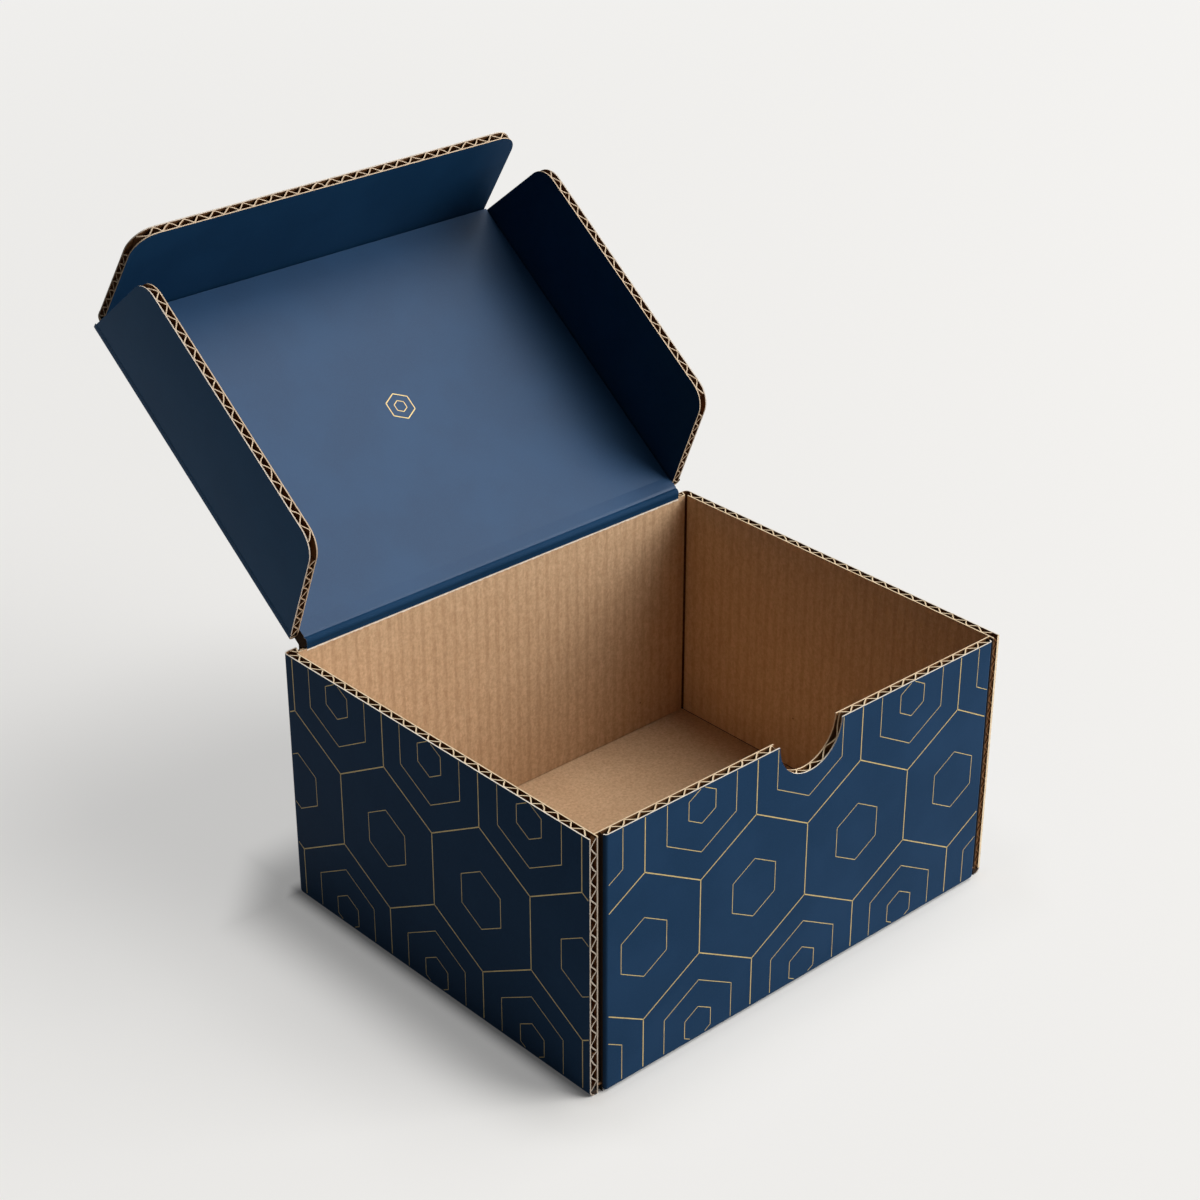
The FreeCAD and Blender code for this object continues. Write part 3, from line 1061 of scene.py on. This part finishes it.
def seen_directly(nodes, links):
    """1 for rays that come straight from the camera, or by way of a mirror or glass."""
    path = nodes.new("ShaderNodeLightPath").outputs
    one = nodes.new("ShaderNodeMath")
    one.operation = "MAXIMUM"
    links.new(path["Is Camera Ray"], one.inputs[0])
    links.new(path["Is Glossy Ray"], one.inputs[1])
    two = nodes.new("ShaderNodeMath")
    two.operation = "MAXIMUM"
    links.new(one.outputs["Value"], two.inputs[0])
    links.new(path["Is Transmission Ray"], two.inputs[1])
    return two.outputs["Value"]


def make_floor():
    """A pale floor that keeps the box's shadow, and far away takes the tone of the backdrop."""
    shape = Shape()
    corners = ((-1, -1), (1, -1), (1, 1), (-1, 1))
    shape.face([Vector((x * FLOOR_REACH, y * FLOOR_REACH, 0)) for x, y in corners], 0)
    finish = Finish("pale_floor", roughness=0.9, specular=0.1)
    grain = finish.ramp(finish.noise(3.0, detail=2.0), 0.3, 0.7)
    finish.paint(finish.mix(grain, colour(171, 170, 168), colour(174, 173, 171)))
    shown = finish.node("BsdfDiffuse", {"Color": colour(236, 235, 233)}).outputs["BSDF"]
    glow_inputs = {"Color": colour(246, 245, 243), "Strength": 1.0}
    glow = finish.node("Emission", glow_inputs).outputs["Emission"]
    away = finish.node("VectorMath", {0: finish.place}, operation="LENGTH").outputs["Value"]
    axes = finish.node("SeparateXYZ", {"Vector": finish.place}).outputs
    # The floor's glow for the camera is painted light. Its share is cut to nothing where the floor
    # touches the box and grows with the distance from it, so the shade right by the box stays dark
    # and the shadow further off is lightened.
    gaps = []
    for axis, half_size in (("X", HALF_WIDTH), ("Y", HALF_DEPTH)):
        beyond = finish.maths("SUBTRACT", finish.maths("ABSOLUTE", axes[axis]), half_size)
        gaps.append(finish.maths("MAXIMUM", beyond, 0.0))
    gap = finish.maths("ADD", *gaps)
    touching = finish.ramp(gap, -0.004, 0.009)
    beside = finish.ramp(gap, 0.01, 0.05)
    lift_inputs = {"Value": away, "From Min": 0.3, "From Max": 2.0, "To Max": 0.34}
    lift = finish.node("MapRange", lift_inputs).outputs["Result"]
    near_share = finish.maths("MULTIPLY_ADD", beside, 0.29, 0.31)
    share = finish.maths("MULTIPLY", finish.maths("ADD", near_share, lift), touching)
    share = finish.maths("MAXIMUM", share, finish.ramp(away, 1.1, 1.8))
    lifted = finish.node("MixShader", {"Fac": share, 1: shown, 2: glow}).outputs["Shader"]
    seen = seen_directly(finish.nodes, finish.links)
    both_inputs = {"Fac": seen, 1: finish.shader.outputs["BSDF"], 2: lifted}
    both = finish.node("MixShader", both_inputs).outputs["Shader"]
    finish.links.new(both, finish.nodes["Material Output"].inputs["Surface"])
    floor = shape.piece("floor", [finish.material])


def make_world():
    """An even light from all round, and the same paper tone behind the box as the floor has."""
    world = bpy.data.worlds.new("studio")
    bpy.context.scene.world = world
    world.use_nodes = True
    nodes = world.node_tree.nodes
    links = world.node_tree.links
    light = nodes["Background"]
    light.inputs["Color"].default_value = colour(236, 240, 246)
    light.inputs["Strength"].default_value = 0.02
    shown = nodes.new("ShaderNodeBackground")
    shown.inputs["Color"].default_value = colour(245, 244, 242)
    shown.inputs["Strength"].default_value = 1.0
    mix = nodes.new("ShaderNodeMixShader")
    links.new(seen_directly(nodes, links), mix.inputs["Fac"])
    links.new(light.outputs["Background"], mix.inputs[1])
    links.new(shown.outputs["Background"], mix.inputs[2])
    links.new(mix.outputs["Shader"], nodes["World Output"].inputs["Surface"])


def make_lamp(name, heading, height, power):
    """A large soft lamp that looks at the box.

    heading goes from +X towards the front and height goes up, both in degrees.
    """
    around = math.radians(heading)
    above = math.radians(height)
    level = math.cos(above)
    way = Vector((level * math.cos(around), -level * math.sin(around), math.sin(above)))
    lamp = bpy.data.lights.new(name, "AREA")
    lamp.shape = "SQUARE"
    lamp.size = LAMP_SIZE
    lamp.energy = power
    lamp.color = LAMP_COLOUR
    made = bpy.data.objects.new(name, lamp)
    made.location = way * LAMP_DISTANCE
    made.rotation_euler = (LAMP_TARGET - made.location).to_track_quat("-Z", "Y").to_euler()
    bpy.context.scene.collection.objects.link(made)


def make_camera():
    """The photograph's camera. Its middle of view is given in a frame of 1200 pixels."""
    place = Vector((-0.66877, -0.70790, 0.66784))
    heading = math.radians(-43.0)
    tilt = math.radians(28.995)
    roll = math.radians(0.387)
    focal_pixels = 2563.3
    frame_pixels = 1200
    middle = (630.9, 637.9)
    sensor = 36.0
    level = math.cos(tilt)
    back = Vector((math.sin(heading) * level, -math.cos(heading) * level, math.sin(tilt)))
    right = Vector((math.cos(heading), math.sin(heading), 0))
    up = back.cross(right)
    rolled_right = right * math.cos(roll) + up * math.sin(roll)
    rolled_up = up * math.cos(roll) - right * math.sin(roll)
    camera = bpy.data.objects.new("camera", bpy.data.cameras.new("camera"))
    camera.data.sensor_width = sensor
    camera.data.lens = focal_pixels / frame_pixels * sensor
    camera.data.shift_x = (frame_pixels / 2 - middle[0]) / frame_pixels
    camera.data.shift_y = (middle[1] - frame_pixels / 2) / frame_pixels
    turn = Matrix((rolled_right, rolled_up, back)).transposed().to_4x4()
    camera.matrix_world = Matrix.Translation(place) @ turn
    bpy.context.scene.collection.objects.link(camera)
    bpy.context.scene.camera = camera


make_floor()
make_world()
make_lamp("key_high", 15, 69, 92.0)
make_lamp("key_front", 50, 35, 78.0)
make_lamp("key_side", 20, 35, 17.0)
make_lamp("key_low", 45, 17, 90.0)
make_camera()
bpy.context.scene.view_settings.view_transform = "Standard"
